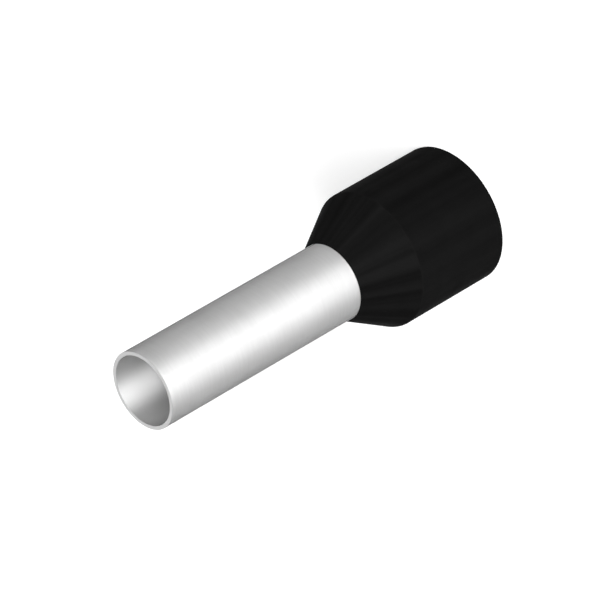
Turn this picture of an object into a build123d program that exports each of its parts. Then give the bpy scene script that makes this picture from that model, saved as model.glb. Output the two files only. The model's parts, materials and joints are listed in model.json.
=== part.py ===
from build123d import *
from math import atan2, cos, sin, tan
import os

# Insulated wire ferrule for 6 mm2 stranded wire.
# A tinned copper sleeve takes the bare strands. Its rear end is belled out inside a
# moulded plastic collar, which holds it and takes the end of the wire's insulation.
# The ferrule stands on the collar's mouth: the origin is the centre of that mouth and
# +Z runs up the common axis to the sleeve's tip. Sizes are in millimetres.

# Copper sleeve
SLEEVE_BORE = 3.5  # inside diameter, for the bare strands
SLEEVE_WALL = 0.2  # thickness of the copper
SLEEVE_REACH = 12.0  # bare length, from the collar's front edge to the tip
TIP_BREAK = 0.01  # radius that tumbling leaves on both edges of the tip
BELL_LENGTH = 1.55  # length of the belled end, measured down its slope
BEND_RADIUS = 0.3  # radius of the bend into the bell, on the copper's outer face

# Plastic collar
COLLAR_BORE = 6.3  # inside diameter, for the insulation
COLLAR_WALL = 0.3  # thickness around that bore
COLLAR_LENGTH = 8.0  # from the mouth to the front edge
CONE_LENGTH = 2.6  # height of the outside cone, up to the front edge
FRONT_LAND = 0.01  # width of the edge in which the cone ends on the sleeve
SEAT_WALL = 0.3  # plastic between the outside cone and the bell
GRIP_CLEARANCE = 0.01  # the collar grips the copper, so this is line to line
SHOULDER_RADIUS = 0.15  # rounds the edge between the cone and the cylinder
FUNNEL_RADIUS = 0.3  # rounds the inside corner where the funnel meets the bore
MOUTH_CHAMFER = 0.12  # lead-in for the insulation
MOUTH_EDGE = 0.02  # radius on the mouth's outer edge

sleeve_radius = SLEEVE_BORE / 2 + SLEEVE_WALL
grip_radius = sleeve_radius + GRIP_CLEARANCE
neck_radius = grip_radius + FRONT_LAND
collar_radius = COLLAR_BORE / 2 + COLLAR_WALL
tip_height = COLLAR_LENGTH + SLEEVE_REACH
cone_angle = atan2(collar_radius - neck_radius, CONE_LENGTH)
bell_depth = SEAT_WALL + GRIP_CLEARANCE  # from the outside cone to the copper
funnel_depth = bell_depth + SLEEVE_WALL  # from the outside cone to the inner face

# In the half section, x is the radius and y the height. The bell, its seat and the
# funnel all run parallel to the outside cone.
down_slope = Vector(sin(cone_angle), -cos(cone_angle))
towards_axis = Vector(-cos(cone_angle), -sin(cone_angle))


def under_cone(radius, depth):
    """The point at a radius on the line that lies a depth below the outside cone."""
    drop = (radius - neck_radius) / tan(cone_angle) + depth / sin(cone_angle)
    return Vector(radius, COLLAR_LENGTH - drop)


def corner(section, point):
    """The vertex of a half section that lies at a point."""
    return section.vertices().sort_by_distance(point)[0]


bend = under_cone(sleeve_radius, bell_depth)
bell_rim = bend + down_slope * BELL_LENGTH


def build_sleeve():
    """Drawn copper tube with a square-cut tip, and its other end belled out."""
    tip = Vector(sleeve_radius, tip_height)
    bore_tip = Vector(SLEEVE_BORE / 2, tip_height)
    with BuildSketch() as section:
        with BuildLine():
            outer_face = FilletPolyline(tip, bend, bell_rim, radius=BEND_RADIUS)
            offset(outer_face, amount=SLEEVE_WALL, side=Side.RIGHT)
        make_face()
        edge_break = min(TIP_BREAK, SLEEVE_WALL * 0.4)
        fillet([corner(section, tip), corner(section, bore_tip)], edge_break)
    return turned(section)


def build_collar():
    """Moulded collar: cylinder, cone, and a funnel in which the bell lies flush."""
    bore_radius = COLLAR_BORE / 2
    mouth_inner = Vector(bore_radius, 0)
    mouth_outer = Vector(collar_radius, 0)
    shoulder = Vector(collar_radius, COLLAR_LENGTH - CONE_LENGTH)
    front_outer = Vector(neck_radius, COLLAR_LENGTH)
    front_inner = Vector(grip_radius, COLLAR_LENGTH)
    seat_bend = under_cone(grip_radius, SEAT_WALL)
    seat_end = bell_rim + down_slope * GRIP_CLEARANCE - towards_axis * GRIP_CLEARANCE
    ledge = seat_end + towards_axis * (GRIP_CLEARANCE + SLEEVE_WALL)
    funnel_foot = under_cone(bore_radius, funnel_depth)
    with BuildSketch() as section:
        with BuildLine():
            Polyline(
                mouth_inner,
                mouth_outer,
                shoulder,
                front_outer,
                front_inner,
                seat_bend,
                seat_end,
                ledge,
                funnel_foot,
                close=True,
            )
        make_face()
        fillet(corner(section, shoulder), SHOULDER_RADIUS)
        fillet(corner(section, seat_bend), BEND_RADIUS - GRIP_CLEARANCE)
        fillet(corner(section, funnel_foot), FUNNEL_RADIUS)
        fillet(corner(section, mouth_outer), min(MOUTH_EDGE, COLLAR_WALL * 0.3))
        chamfer(corner(section, mouth_inner), min(MOUTH_CHAMFER, COLLAR_WALL * 0.5))
    return turned(section)


def turned(section):
    """A half section turned about the axis into a solid."""
    upright = Plane.XZ * section.sketch
    return revolve(upright, axis=Axis.Z)


parts = {"sleeve": build_sleeve(), "collar": build_collar()}
os.makedirs("parts", exist_ok=True)
for name, shape in parts.items():
    export_step(shape, f"parts/{name}.step")
    print(name, round(shape.volume, 3), "mm3", shape.bounding_box().size)
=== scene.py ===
import bpy
import json
from math import atan2, cos, pi, radians, sin, tan
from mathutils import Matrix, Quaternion, Vector


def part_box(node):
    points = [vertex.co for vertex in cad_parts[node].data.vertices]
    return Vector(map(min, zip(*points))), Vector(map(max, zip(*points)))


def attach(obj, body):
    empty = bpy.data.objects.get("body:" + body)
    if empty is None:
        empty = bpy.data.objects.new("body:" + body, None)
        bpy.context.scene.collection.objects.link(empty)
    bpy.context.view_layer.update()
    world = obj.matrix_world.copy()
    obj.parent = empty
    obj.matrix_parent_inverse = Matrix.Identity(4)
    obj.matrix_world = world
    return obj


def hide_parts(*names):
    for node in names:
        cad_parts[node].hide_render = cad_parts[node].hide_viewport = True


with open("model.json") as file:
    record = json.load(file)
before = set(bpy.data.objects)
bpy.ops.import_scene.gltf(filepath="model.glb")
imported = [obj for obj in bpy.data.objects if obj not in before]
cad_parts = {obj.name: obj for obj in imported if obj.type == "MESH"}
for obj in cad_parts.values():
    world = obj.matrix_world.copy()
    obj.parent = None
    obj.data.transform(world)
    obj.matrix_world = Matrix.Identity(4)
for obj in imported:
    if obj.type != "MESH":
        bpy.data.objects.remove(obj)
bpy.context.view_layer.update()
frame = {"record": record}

# The sleeve is a thin tube of drawn copper, plated with tin and tumbled to an even satin.
# Its tip is cut square and takes the bare strands. The other end is belled out, which
# locks it into the collar and leads the strands in.
MM = 0.001
ROUND = 256  # sides of every ring, so that none shows
SLEEVE_WALL = 0.2 * MM
TIP_BREAK = 0.01 * MM  # radius on both edges of the cut
BELL_LENGTH = 1.55 * MM  # down the slope of the belled end
BEND_RADIUS = 0.3 * MM  # on the copper's outer face
CONE_LENGTH = 2.6 * MM  # height of the collar's cone, which the bell runs along
FRONT_LAND = 0.01 * MM  # width of the edge in which that cone ends
SEAT_WALL = 0.3 * MM  # plastic between the cone and the bell
GRIP_CLEARANCE = 0.01 * MM  # between the plastic and the copper
WELD_DISTANCE = 0.0001 * MM  # points nearer to each other than this become one
RING_REACH = 0.001 * MM  # points nearer to a corner than this are on its ring
SHARP_ANGLE = radians(20)  # faces that meet at more than this keep their edge
FLAT_WEIGHT = 90  # of 100, how far a bend's normals follow the large faces beside it

sizes = {mount["name"]: mount["dims"] for mount in frame["record"]["mounts"]}
bore_radius = sizes["sleeve_bore"]["r_mm"] * MM
sleeve_radius = sizes["sleeve_outside"]["r_mm"] * MM
tip_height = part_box("sleeve")[1].z
collar_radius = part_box("collar")[1].x
collar_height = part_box("collar")[1].z
grip_radius = sleeve_radius + GRIP_CLEARANCE
neck_radius = grip_radius + FRONT_LAND
cone_angle = atan2(collar_radius - neck_radius, CONE_LENGTH)
bell_depth = SEAT_WALL + GRIP_CLEARANCE
funnel_depth = bell_depth + SLEEVE_WALL
setback = tan(cone_angle / 2)  # from a bend's corner to its arc, for each unit of radius


def under_cone(radius, depth):
    """The radius and height of a point that lies a depth below the collar's cone."""
    drop = (radius - neck_radius) / tan(cone_angle) + depth / sin(cone_angle)
    return radius, collar_height - drop


def beside(point, down_slope=0, off_axis=0):
    """The point moved down the cone's slope, and square to it away from the axis."""
    radius, height = point
    radius += down_slope * sin(cone_angle) + off_axis * cos(cone_angle)
    height += off_axis * sin(cone_angle) - down_slope * cos(cone_angle)
    return radius, height


def turned_shell(name, outline):
    """A closed shell: a ring of edges, extruded from corner to corner and back to the first."""
    bpy.ops.object.select_all(action="DESELECT")
    radius, height = outline[0]
    bpy.ops.mesh.primitive_circle_add(vertices=ROUND, radius=radius, location=(0, 0, height))
    piece = bpy.context.object
    piece.name = name
    bpy.ops.object.transform_apply(location=True, rotation=False, scale=False)
    bpy.ops.object.mode_set(mode="EDIT")
    bpy.ops.mesh.select_all(action="SELECT")
    for corner, following in zip(outline, outline[1:] + outline[:1]):
        rise = (0, 0, following[1] - corner[1])
        growth = following[0] / corner[0]
        centre = (0, 0, following[1])
        bpy.ops.mesh.extrude_edges_move(TRANSFORM_OT_translate={"value": rise})
        bpy.ops.transform.resize(value=(growth, growth, 1), center_override=centre)
    bpy.ops.mesh.select_all(action="SELECT")
    bpy.ops.mesh.remove_doubles(threshold=WELD_DISTANCE)
    bpy.ops.mesh.normals_make_consistent(inside=False)
    bpy.ops.object.mode_set(mode="OBJECT")
    return piece


def select_ring(piece, corner):
    """Selects the ring of edges that runs round one corner of the outline."""
    bpy.ops.object.mode_set(mode="EDIT")
    bpy.ops.mesh.select_all(action="DESELECT")
    bpy.ops.object.mode_set(mode="OBJECT")
    place = Vector(corner)
    ring = set()
    for vertex in piece.data.vertices:
        spot = Vector((vertex.co.xy.length, vertex.co.z))
        if (spot - place).length < RING_REACH:
            ring.add(vertex.index)
    for edge in piece.data.edges:
        edge.select = set(edge.vertices) <= ring


def round_ring(piece, corner, width, steps):
    """Rounds the ring at a corner. The width runs along both faces from the corner."""
    select_ring(piece, corner)
    bpy.ops.object.mode_set(mode="EDIT")
    bpy.ops.mesh.select_mode(type="EDGE")
    bpy.ops.mesh.bevel(offset=width, offset_type="OFFSET", segments=steps, profile=0.5)
    bpy.ops.object.mode_set(mode="OBJECT")


def smooth(piece):
    """Shades the bends smooth and leaves the edges sharp, with every flat and wall true."""
    bpy.ops.object.shade_smooth_by_angle(angle=SHARP_ANGLE)
    bpy.ops.object.modifier_add(type="WEIGHTED_NORMAL")
    weighted = piece.modifiers[-1]
    weighted.keep_sharp = True
    weighted.weight = FLAT_WEIGHT
    bpy.ops.object.modifier_apply(modifier=weighted.name)


tip = (sleeve_radius, tip_height)
bend = under_cone(sleeve_radius, bell_depth)
bell_rim = beside(bend, down_slope=BELL_LENGTH)
inner_rim = beside(bell_rim, off_axis=-SLEEVE_WALL)
inner_bend = under_cone(bore_radius, funnel_depth)
bore_tip = (bore_radius, tip_height)
sleeve = turned_shell("tube", [tip, bend, bell_rim, inner_rim, inner_bend, bore_tip])
round_ring(sleeve, tip, width=TIP_BREAK, steps=2)
round_ring(sleeve, bore_tip, width=TIP_BREAK, steps=2)
round_ring(sleeve, bend, width=BEND_RADIUS * setback, steps=6)
round_ring(sleeve, inner_bend, width=(BEND_RADIUS + SLEEVE_WALL) * setback, steps=8)
smooth(sleeve)
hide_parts("sleeve")
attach(sleeve, "root")


def put(tree, kind, feeds, **settings):
    """A new node. Each of its inputs in feeds takes a link from a socket, or a plain value."""
    node = tree.nodes.new(kind)
    for setting, value in settings.items():
        setattr(node, setting, value)
    for place, feed in feeds.items():
        if isinstance(feed, bpy.types.NodeSocket):
            tree.links.new(feed, node.inputs[place])
        else:
            node.inputs[place].default_value = feed
    return node


def reckon(tree, operation, *terms):
    """What a Math node makes of one to three terms."""
    return put(tree, "ShaderNodeMath", dict(enumerate(terms)), operation=operation).outputs[0]


def on_vector(tree, operation, result, *terms, **more):
    """One result of a Vector Math node."""
    feeds = {**dict(enumerate(terms)), **more}
    return put(tree, "ShaderNodeVectorMath", feeds, operation=operation).outputs[result]


def spread(tree, value, low, high, first, last):
    """The value's range from low to high, spread smoothly from first to last and held there."""
    feeds = {"Value": value, 1: low, 2: high, 3: first, 4: last}
    return put(tree, "ShaderNodeMapRange", feeds, interpolation_type="SMOOTHSTEP").outputs[0]


def part_way(tree, share, first, last):
    """A value that goes from the first to the last as the share goes from 0 to 1."""
    return put(tree, "ShaderNodeMix", {0: share, 2: first, 3: last}).outputs[0]


def between(tree, share, first, last):
    """A colour that goes from the first to the last as the share goes from 0 to 1."""
    feeds = {0: share, 6: first, 7: last}
    return put(tree, "ShaderNodeMix", feeds, data_type="RGBA").outputs[2]


def effect(name, dials, results):
    """A node group for an effect that several materials share, with its dials and results."""
    group = bpy.data.node_groups.new(name, "ShaderNodeTree")
    for dial, value in dials.items():
        socket = group.interface.new_socket(dial, in_out="INPUT", socket_type="NodeSocketFloat")
        socket.default_value = value
    for result in results:
        group.interface.new_socket(result, in_out="OUTPUT", socket_type="NodeSocketFloat")
    start = group.nodes.new("NodeGroupInput")
    end = group.nodes.new("NodeGroupOutput")
    return group, start.outputs, end.inputs


def use(tree, group, **dials):
    """The results of an effect, placed in a tree with its own values."""
    node = put(tree, "ShaderNodeGroup", {}, node_tree=group)
    for dial, value in dials.items():
        node.inputs[dial.replace("_", " ").capitalize()].default_value = value
    return node.outputs


def noise_about_axis(tree, axis, waver, third, detail):
    """Noise that changes on the way round the axis, as fast as waver says, and with a third value."""
    side_x = reckon(tree, "MULTIPLY", axis["Way x"], waver)
    side_y = reckon(tree, "MULTIPLY", axis["Way y"], waver)
    spot = put(tree, "ShaderNodeCombineXYZ", {"X": side_x, "Y": side_y, "Z": third}).outputs[0]
    feeds = {"Vector": spot, "Scale": 1, "Detail": detail}
    return put(tree, "ShaderNodeTexNoise", feeds).outputs[0]


def new_finish(piece, name):
    """A material in the piece's next slot, as its node tree and the inputs of its shader."""
    finish = bpy.data.materials.new(name)
    finish.use_nodes = True
    piece.data.materials.append(finish)
    return finish.node_tree, finish.node_tree.nodes["Principled BSDF"].inputs


def grey(level):
    """A neutral colour."""
    return (level, level, level, 1)


# Where a point lies about the axis: the way to it, as a pair of values, and its radius and
# height in millimetres.
about_axis, dials, results = effect("about_axis", {}, ["Way x", "Way y", "Radius", "Height"])
place = put(about_axis, "ShaderNodeTexCoord", {}).outputs["Object"]
in_mm = on_vector(about_axis, "SCALE", 0, place, Scale=1 / MM)
in_plan = on_vector(about_axis, "MULTIPLY", 0, in_mm, (1, 1, 0))
way = on_vector(about_axis, "NORMALIZE", 0, in_plan)
way_parts = put(about_axis, "ShaderNodeSeparateXYZ", {0: way}).outputs
mm_parts = put(about_axis, "ShaderNodeSeparateXYZ", {0: in_mm}).outputs
about_axis.links.new(way_parts["X"], results["Way x"])
about_axis.links.new(way_parts["Y"], results["Way y"])
about_axis.links.new(on_vector(about_axis, "LENGTH", "Value", in_plan), results["Radius"])
about_axis.links.new(mm_parts["Z"], results["Height"])

# Fine lines round the axis, so many to the millimetre, up a wall and across a flat face alike.
round_lines, dials, results = effect("round_lines", {"Lines": 8, "Waver": 1, "Seed": 0}, ["Lines"])
axis = use(round_lines, about_axis)
across = reckon(round_lines, "ADD", axis["Radius"], axis["Height"])
across = reckon(round_lines, "MULTIPLY_ADD", across, dials["Lines"], dials["Seed"])
lines = noise_about_axis(round_lines, axis, dials["Waver"], across, detail=3)
round_lines.links.new(lines, results["Lines"])

# Streaks along the piece, from end to end. The more streaks, the narrower they are.
STREAK_DIALS = {"Streaks": 3, "Softness": 0.2, "Seed": 0}
STREAK_DRIFT = 0.02  # how far the pattern changes in each millimetre of height
long_streaks, dials, results = effect("long_streaks", STREAK_DIALS, ["Streaks"])
axis = use(long_streaks, about_axis)
drift = reckon(long_streaks, "MULTIPLY_ADD", axis["Height"], STREAK_DRIFT, dials["Seed"])
streaks = noise_about_axis(long_streaks, axis, dials["Streaks"], drift, detail=2)
low = reckon(long_streaks, "SUBTRACT", 0.5, dials["Softness"])
high = reckon(long_streaks, "ADD", 0.5, dials["Softness"])
streaks = spread(long_streaks, streaks, low, high, first=0, last=1)
long_streaks.links.new(streaks, results["Streaks"])

# Soft clouds, in which a finish is a little duller or brighter.
clouds, dials, results = effect("clouds", {"Per mm": 1, "Detail": 3, "Seed": 0}, ["Clouds"])
place = put(clouds, "ShaderNodeTexCoord", {}).outputs["Object"]
scale = reckon(clouds, "DIVIDE", dials["Per mm"], MM)
feeds = {"Vector": place, "W": dials["Seed"], "Scale": scale, "Detail": dials["Detail"]}
noise = put(clouds, "ShaderNodeTexNoise", feeds, noise_dimensions="4D")
clouds.links.new(noise.outputs[0], results["Clouds"])

# Wear on an edge that runs round at one radius and height. All three dials are in
# millimetres, and the worn band is wider in some places than in others.
LEAST_WEAR = 0.2  # of the width, where the noise is at its lowest
WEAR_SWING = 1.6  # of the width, from there to the noise's highest
edge_wear, dials, results = effect("edge_wear", {"Radius": 1, "Height": 1, "Width": 0.1}, ["Wear"])
axis = use(edge_wear, about_axis)
outwards = reckon(edge_wear, "SUBTRACT", axis["Radius"], dials["Radius"])
upwards = reckon(edge_wear, "SUBTRACT", axis["Height"], dials["Height"])
spot = put(edge_wear, "ShaderNodeCombineXYZ", {"X": outwards, "Y": upwards}).outputs[0]
away = on_vector(edge_wear, "LENGTH", "Value", spot)
noise = use(edge_wear, clouds, per_mm=2.5)["Clouds"]
uneven = reckon(edge_wear, "MULTIPLY_ADD", noise, WEAR_SWING, LEAST_WEAR)
limit = reckon(edge_wear, "MULTIPLY", dials["Width"], uneven)
edge_wear.links.new(spread(edge_wear, away, 0, limit, first=1, last=0), results["Wear"])


def worn_ring(tree, corner, width):
    """The wear on the ring at a corner of an outline. The width is in millimetres."""
    radius, height = corner
    return use(tree, edge_wear, radius=radius / MM, height=height / MM, width=width)["Wear"]


# The tin is a little duller in some places than in others. In the bore its colour carries
# painted light, palest at the lip, and painted shade that darkens it deeper down. Its finest
# grain runs round the tube, so a highlight spreads along it.
TIN_DULL = 0.642
TIN_BRIGHT = 0.672
BORE_PAINTED_LIGHT = 0.82
BORE_PAINTED_SHADE = 0.60
PAINTED_SHADE_DEPTH = 2.0  # millimetres into the bore, where the painted shade is darkest
BORE_PAINT_SHARE = 0.8  # how much of the bore's painted light and shade shows there
DRAWN_SHARE = 0.3  # of the roughness, from drawing marks, and the rest from the clouds
TIN_ROUGH = 0.715
TIN_SMOOTH = 0.695
TIN_RUBBED = 0.62  # roughness where the tip's outer edge is rubbed
RUBBED_WIDTH = 0.25  # millimetres
TIN_EDGE = 0.0  # tint at a glancing angle, so the tube darkens towards its sides
TIN_ANISO = 0.70  # how far the highlight is stretched
ANISO_TURN = 0.25  # of a full turn, from round the tube to along it
LINE_DEPTH = 0.0002 * MM
tree, shader = new_finish(sleeve, "tin_plate")
axis = use(tree, about_axis)
polish = use(tree, round_lines, lines=9, waver=1.5)["Lines"]
drawn = use(tree, long_streaks, streaks=9, softness=0.3, seed=5)["Streaks"]
bloom = use(tree, clouds, per_mm=0.5, detail=4)["Clouds"]
rubbed = worn_ring(tree, tip, RUBBED_WIDTH)
shine = part_way(tree, 0.5, polish, bloom)
shine = spread(tree, shine, low=0.35, high=0.65, first=0, last=1)
plated = between(tree, shine, grey(TIN_DULL), grey(TIN_BRIGHT))
# painted shade: the bore's colour darkens with depth below the tip
depth = reckon(tree, "SUBTRACT", tip_height / MM, axis["Height"])
depth = spread(tree, depth, low=0, high=PAINTED_SHADE_DEPTH, first=0, last=1)
# painted light at the bore's lip, fading to painted shade deeper in
inside = between(tree, depth, grey(BORE_PAINTED_LIGHT), grey(BORE_PAINTED_SHADE))
middle_of_wall = (bore_radius + SLEEVE_WALL / 2) / MM
in_bore = reckon(tree, "LESS_THAN", axis["Radius"], middle_of_wall)
# the bore takes the painted light and shade in place of the plain tin
plated = between(tree, reckon(tree, "MULTIPLY", in_bore, BORE_PAINT_SHARE), plated, inside)
tree.links.new(plated, shader["Base Color"])
satin = part_way(tree, DRAWN_SHARE, bloom, drawn)
satin = spread(tree, satin, low=0.2, high=0.8, first=TIN_ROUGH, last=TIN_SMOOTH)
satin = part_way(tree, rubbed, satin, TIN_RUBBED)
tree.links.new(satin, shader["Roughness"])
shader["Metallic"].default_value = 1.0
shader["Anisotropic"].default_value = TIN_ANISO
shader["Anisotropic Rotation"].default_value = ANISO_TURN
shader["Specular Tint"].default_value = grey(TIN_EDGE)
tangent = put(tree, "ShaderNodeTangent", {}, direction_type="RADIAL", axis="Z").outputs[0]
tree.links.new(tangent, shader["Tangent"])
bump = put(tree, "ShaderNodeBump", {"Distance": LINE_DEPTH, "Height": polish}).outputs[0]
tree.links.new(bump, shader["Normal"])

# The square-cut face at the tip keeps the saw's fine marks under a thin wash of tin. They run
# round the wall and scatter the light, so the face is pale from every side.
CUT_COLOUR = 0.68
CUT_ROUGH = 0.72
CUT_SMOOTH = 0.66
LEVEL = 0.999  # a face whose normal rises at least so much of its length is level
tree, shader = new_finish(sleeve, "cut_face")
saw = use(tree, round_lines, lines=30, waver=4, seed=7)["Lines"]
marks = spread(tree, saw, low=0.3, high=0.7, first=CUT_ROUGH, last=CUT_SMOOTH)
tree.links.new(marks, shader["Roughness"])
shader["Base Color"].default_value = grey(CUT_COLOUR)
shader["Metallic"].default_value = 1.0
cut_slot = len(sleeve.data.materials) - 1
for face in sleeve.data.polygons:
    at_tip = face.center.z > tip_height - TIP_BREAK / 2
    if at_tip and face.normal.z > LEVEL:
        face.material_index = cut_slot

# The collar is one moulding of black polypropylene, with a thin wall round the wire's
# insulation and a cone that narrows to the sleeve. Inside it, a funnel and a recess hold the
# bell. The plastic is satin, with faint painted reflection bands in its colour along it.
SHOULDER_RADIUS = 0.15 * MM  # between the cone and the cylinder
FUNNEL_RADIUS = 0.3 * MM  # inside corner where the funnel meets the bore
MOUTH_CHAMFER = 0.12 * MM  # lead-in for the insulation
MOUTH_EDGE = 0.02 * MM  # radius on the mouth's outer edge
collar_bore = sizes["collar_bore"]["r_mm"] * MM
mouth_inner = (collar_bore, 0)
mouth_outer = (collar_radius, 0)
shoulder = (collar_radius, collar_height - CONE_LENGTH)
front_outer = (neck_radius, collar_height)
front_inner = (grip_radius, collar_height)
seat_bend = under_cone(grip_radius, SEAT_WALL)
seat_end = beside(bell_rim, GRIP_CLEARANCE, GRIP_CLEARANCE)
ledge = beside(seat_end, off_axis=-GRIP_CLEARANCE - SLEEVE_WALL)
funnel_foot = under_cone(collar_bore, funnel_depth)
outline = [
    mouth_inner,
    mouth_outer,
    shoulder,
    front_outer,
    front_inner,
    seat_bend,
    seat_end,
    ledge,
    funnel_foot,
]
collar = turned_shell("insulating_collar", outline)
round_ring(collar, shoulder, width=SHOULDER_RADIUS * setback, steps=12)
round_ring(collar, seat_bend, width=BEND_RADIUS * setback, steps=4)
round_ring(collar, funnel_foot, width=FUNNEL_RADIUS * setback, steps=6)
round_ring(collar, mouth_outer, width=MOUTH_EDGE, steps=2)
round_ring(collar, mouth_inner, width=MOUTH_CHAMFER, steps=1)
smooth(collar)
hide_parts("collar")
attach(collar, "root")

PLASTIC_DARK = 0.0032
PLASTIC_PALE = 0.0077
PLASTIC_WORN = 0.012
PLASTIC_ROUGH = 0.68
PLASTIC_SMOOTH = 0.62
PLASTIC_SPECULAR = 0.005
GRAIN_DEPTH = 0.002 * MM
PAINTED_BAND_SHARE = 0.85  # of the way from dark to pale, from the painted reflection bands
MOTTLE_SHARE = 0.3  # and from the clouds
CONE_SEED = 1929  # this and the next choose where the painted reflection bands lie
WALL_SEED = 5809
MOUTH_WEAR = 0.5  # how far each of the three edges has worn to the paler colour
SHOULDER_WEAR = 0.12
FRONT_WEAR = 0.35
WORN_WIDTH = 0.08  # millimetres
tree, shader = new_finish(collar, "black_polypropylene")
# painted reflection: bands in the plastic's colour along the cone and along the wall
cone_painted_bands = use(tree, long_streaks, streaks=4.5, softness=0.2, seed=CONE_SEED)["Streaks"]
wall_painted_bands = use(tree, long_streaks, streaks=4, softness=0.35, seed=WALL_SEED)["Streaks"]
on_cone = reckon(tree, "GREATER_THAN", use(tree, about_axis)["Height"], shoulder[1] / MM)
painted_bands_and_mottle = part_way(tree, on_cone, wall_painted_bands, cone_painted_bands)
painted_bands_and_mottle = reckon(tree, "MULTIPLY", painted_bands_and_mottle, PAINTED_BAND_SHARE)
mottle = use(tree, clouds, per_mm=1.2, detail=4, seed=2)["Clouds"]
painted_bands_and_mottle = reckon(tree, "MULTIPLY_ADD", mottle, MOTTLE_SHARE, painted_bands_and_mottle)
# dark to pale through the painted reflection bands and the plastic's own mottle
moulded_with_painted_bands = between(tree, painted_bands_and_mottle, grey(PLASTIC_DARK), grey(PLASTIC_PALE))
worn = 0
worn_edges = [(mouth_outer, MOUTH_WEAR), (shoulder, SHOULDER_WEAR), (front_outer, FRONT_WEAR)]
for corner, share in worn_edges:
    worn = reckon(tree, "MULTIPLY_ADD", worn_ring(tree, corner, WORN_WIDTH), share, worn)
moulded_with_painted_bands = between(tree, worn, moulded_with_painted_bands, grey(PLASTIC_WORN))
tree.links.new(moulded_with_painted_bands, shader["Base Color"])
satin = spread(tree, mottle, low=0.3, high=0.7, first=PLASTIC_ROUGH, last=PLASTIC_SMOOTH)
tree.links.new(satin, shader["Roughness"])
shader["Specular IOR Level"].default_value = PLASTIC_SPECULAR
grain = use(tree, clouds, per_mm=14, detail=2, seed=4)["Clouds"]
bump = put(tree, "ShaderNodeBump", {"Distance": GRAIN_DEPTH, "Height": grain}).outputs[0]
tree.links.new(bump, shader["Normal"])

# The table is a plain white sheet. Where the camera sees it, itself or in the metal, a faint
# glow lifts it to full white, and the ferrule's shadow stays on it.
TABLE_SIZE = 2.0  # metres
TABLE_COLOUR = 0.8
TABLE_GLOW = 0.4
bpy.ops.object.select_all(action="DESELECT")
bpy.ops.mesh.primitive_plane_add(size=TABLE_SIZE)
table = bpy.context.object
table.name = "table"
tree, shader = new_finish(table, "white_sheet")
shader["Base Color"].default_value = grey(TABLE_COLOUR)
shader["Roughness"].default_value = 1.0
shader["Specular IOR Level"].default_value = 0.0
rays = put(tree, "ShaderNodeLightPath", {}).outputs
seen = reckon(tree, "MAXIMUM", rays["Is Camera Ray"], rays["Is Glossy Ray"])
seen = reckon(tree, "MAXIMUM", seen, rays["Is Transmission Ray"])
shader["Emission Color"].default_value = grey(1)
tree.links.new(reckon(tree, "MULTIPLY", seen, TABLE_GLOW), shader["Emission Strength"])

# The room is dim and even. A wide soft lamp behind the camera draws the highlight along the
# tube and lights the bore, and a faint one beside it lifts the shade. From the far side one
# lights the cut face, and a low one lights the ferrule's back and softens its shadow.
WORLD_LEVEL = 0.15
world = bpy.data.worlds.new("room")
world.use_nodes = True
background = world.node_tree.nodes["Background"].inputs
background["Color"].default_value = grey(1)
background["Strength"].default_value = WORLD_LEVEL
bpy.context.scene.world = world
middle = Vector((0, 0, tip_height / 2))


def aimed(name, data, azimuth, elevation, distance):
    """A lamp or camera, set up to face the ferrule. Azimuth 0 is the camera's side."""
    turn = radians(azimuth)
    rise = radians(elevation)
    way = Vector((sin(turn) * cos(rise), -cos(turn) * cos(rise), sin(rise)))
    item = bpy.data.objects.new(name, data)
    bpy.context.scene.collection.objects.link(item)
    item.location = middle + way * distance
    item.rotation_mode = "QUATERNION"
    item.rotation_quaternion = (-way).to_track_quat("-Z", "Y")
    return item


def soft_lamp(name, azimuth, elevation, distance, width, height, level):
    """A soft rectangular lamp, aimed at the ferrule and hidden from the camera."""
    data = bpy.data.lights.new(name, "AREA")
    data.shape = "RECTANGLE"
    data.size = width
    data.size_y = height
    data.energy = level * pi * width * height
    aimed(name, data, azimuth, elevation, distance).visible_camera = False


soft_lamp("key_lamp", azimuth=-14.2, elevation=40, distance=0.6, width=0.65, height=0.15, level=19.3)
soft_lamp("side_lamp", azimuth=75, elevation=40, distance=1, width=0.5, height=0.3, level=1)
soft_lamp("back_lamp", azimuth=190, elevation=31, distance=1, width=0.68, height=0.41, level=0.64)
soft_lamp("fill_lamp", azimuth=178, elevation=9, distance=1, width=0.5, height=0.25, level=12)

# The camera looks down at the ferrule along an isometric line, and is turned so that the tip
# points down to the left.
VIEW_ELEVATION = 35.26
VIEW_ROLL = -120
VIEW_DISTANCE = 0.2281  # metres
LENS = 296.7  # millimetres
NEAR_CLIP = 0.01  # metres
data = bpy.data.cameras.new("camera")
data.lens = LENS
data.clip_start = NEAR_CLIP
camera = aimed("camera", data, azimuth=0, elevation=VIEW_ELEVATION, distance=VIEW_DISTANCE)
roll = Quaternion((0, 0, 1), radians(VIEW_ROLL))
camera.rotation_quaternion = camera.rotation_quaternion @ roll
bpy.context.scene.camera = camera
bpy.context.scene.view_settings.view_transform = "Standard"
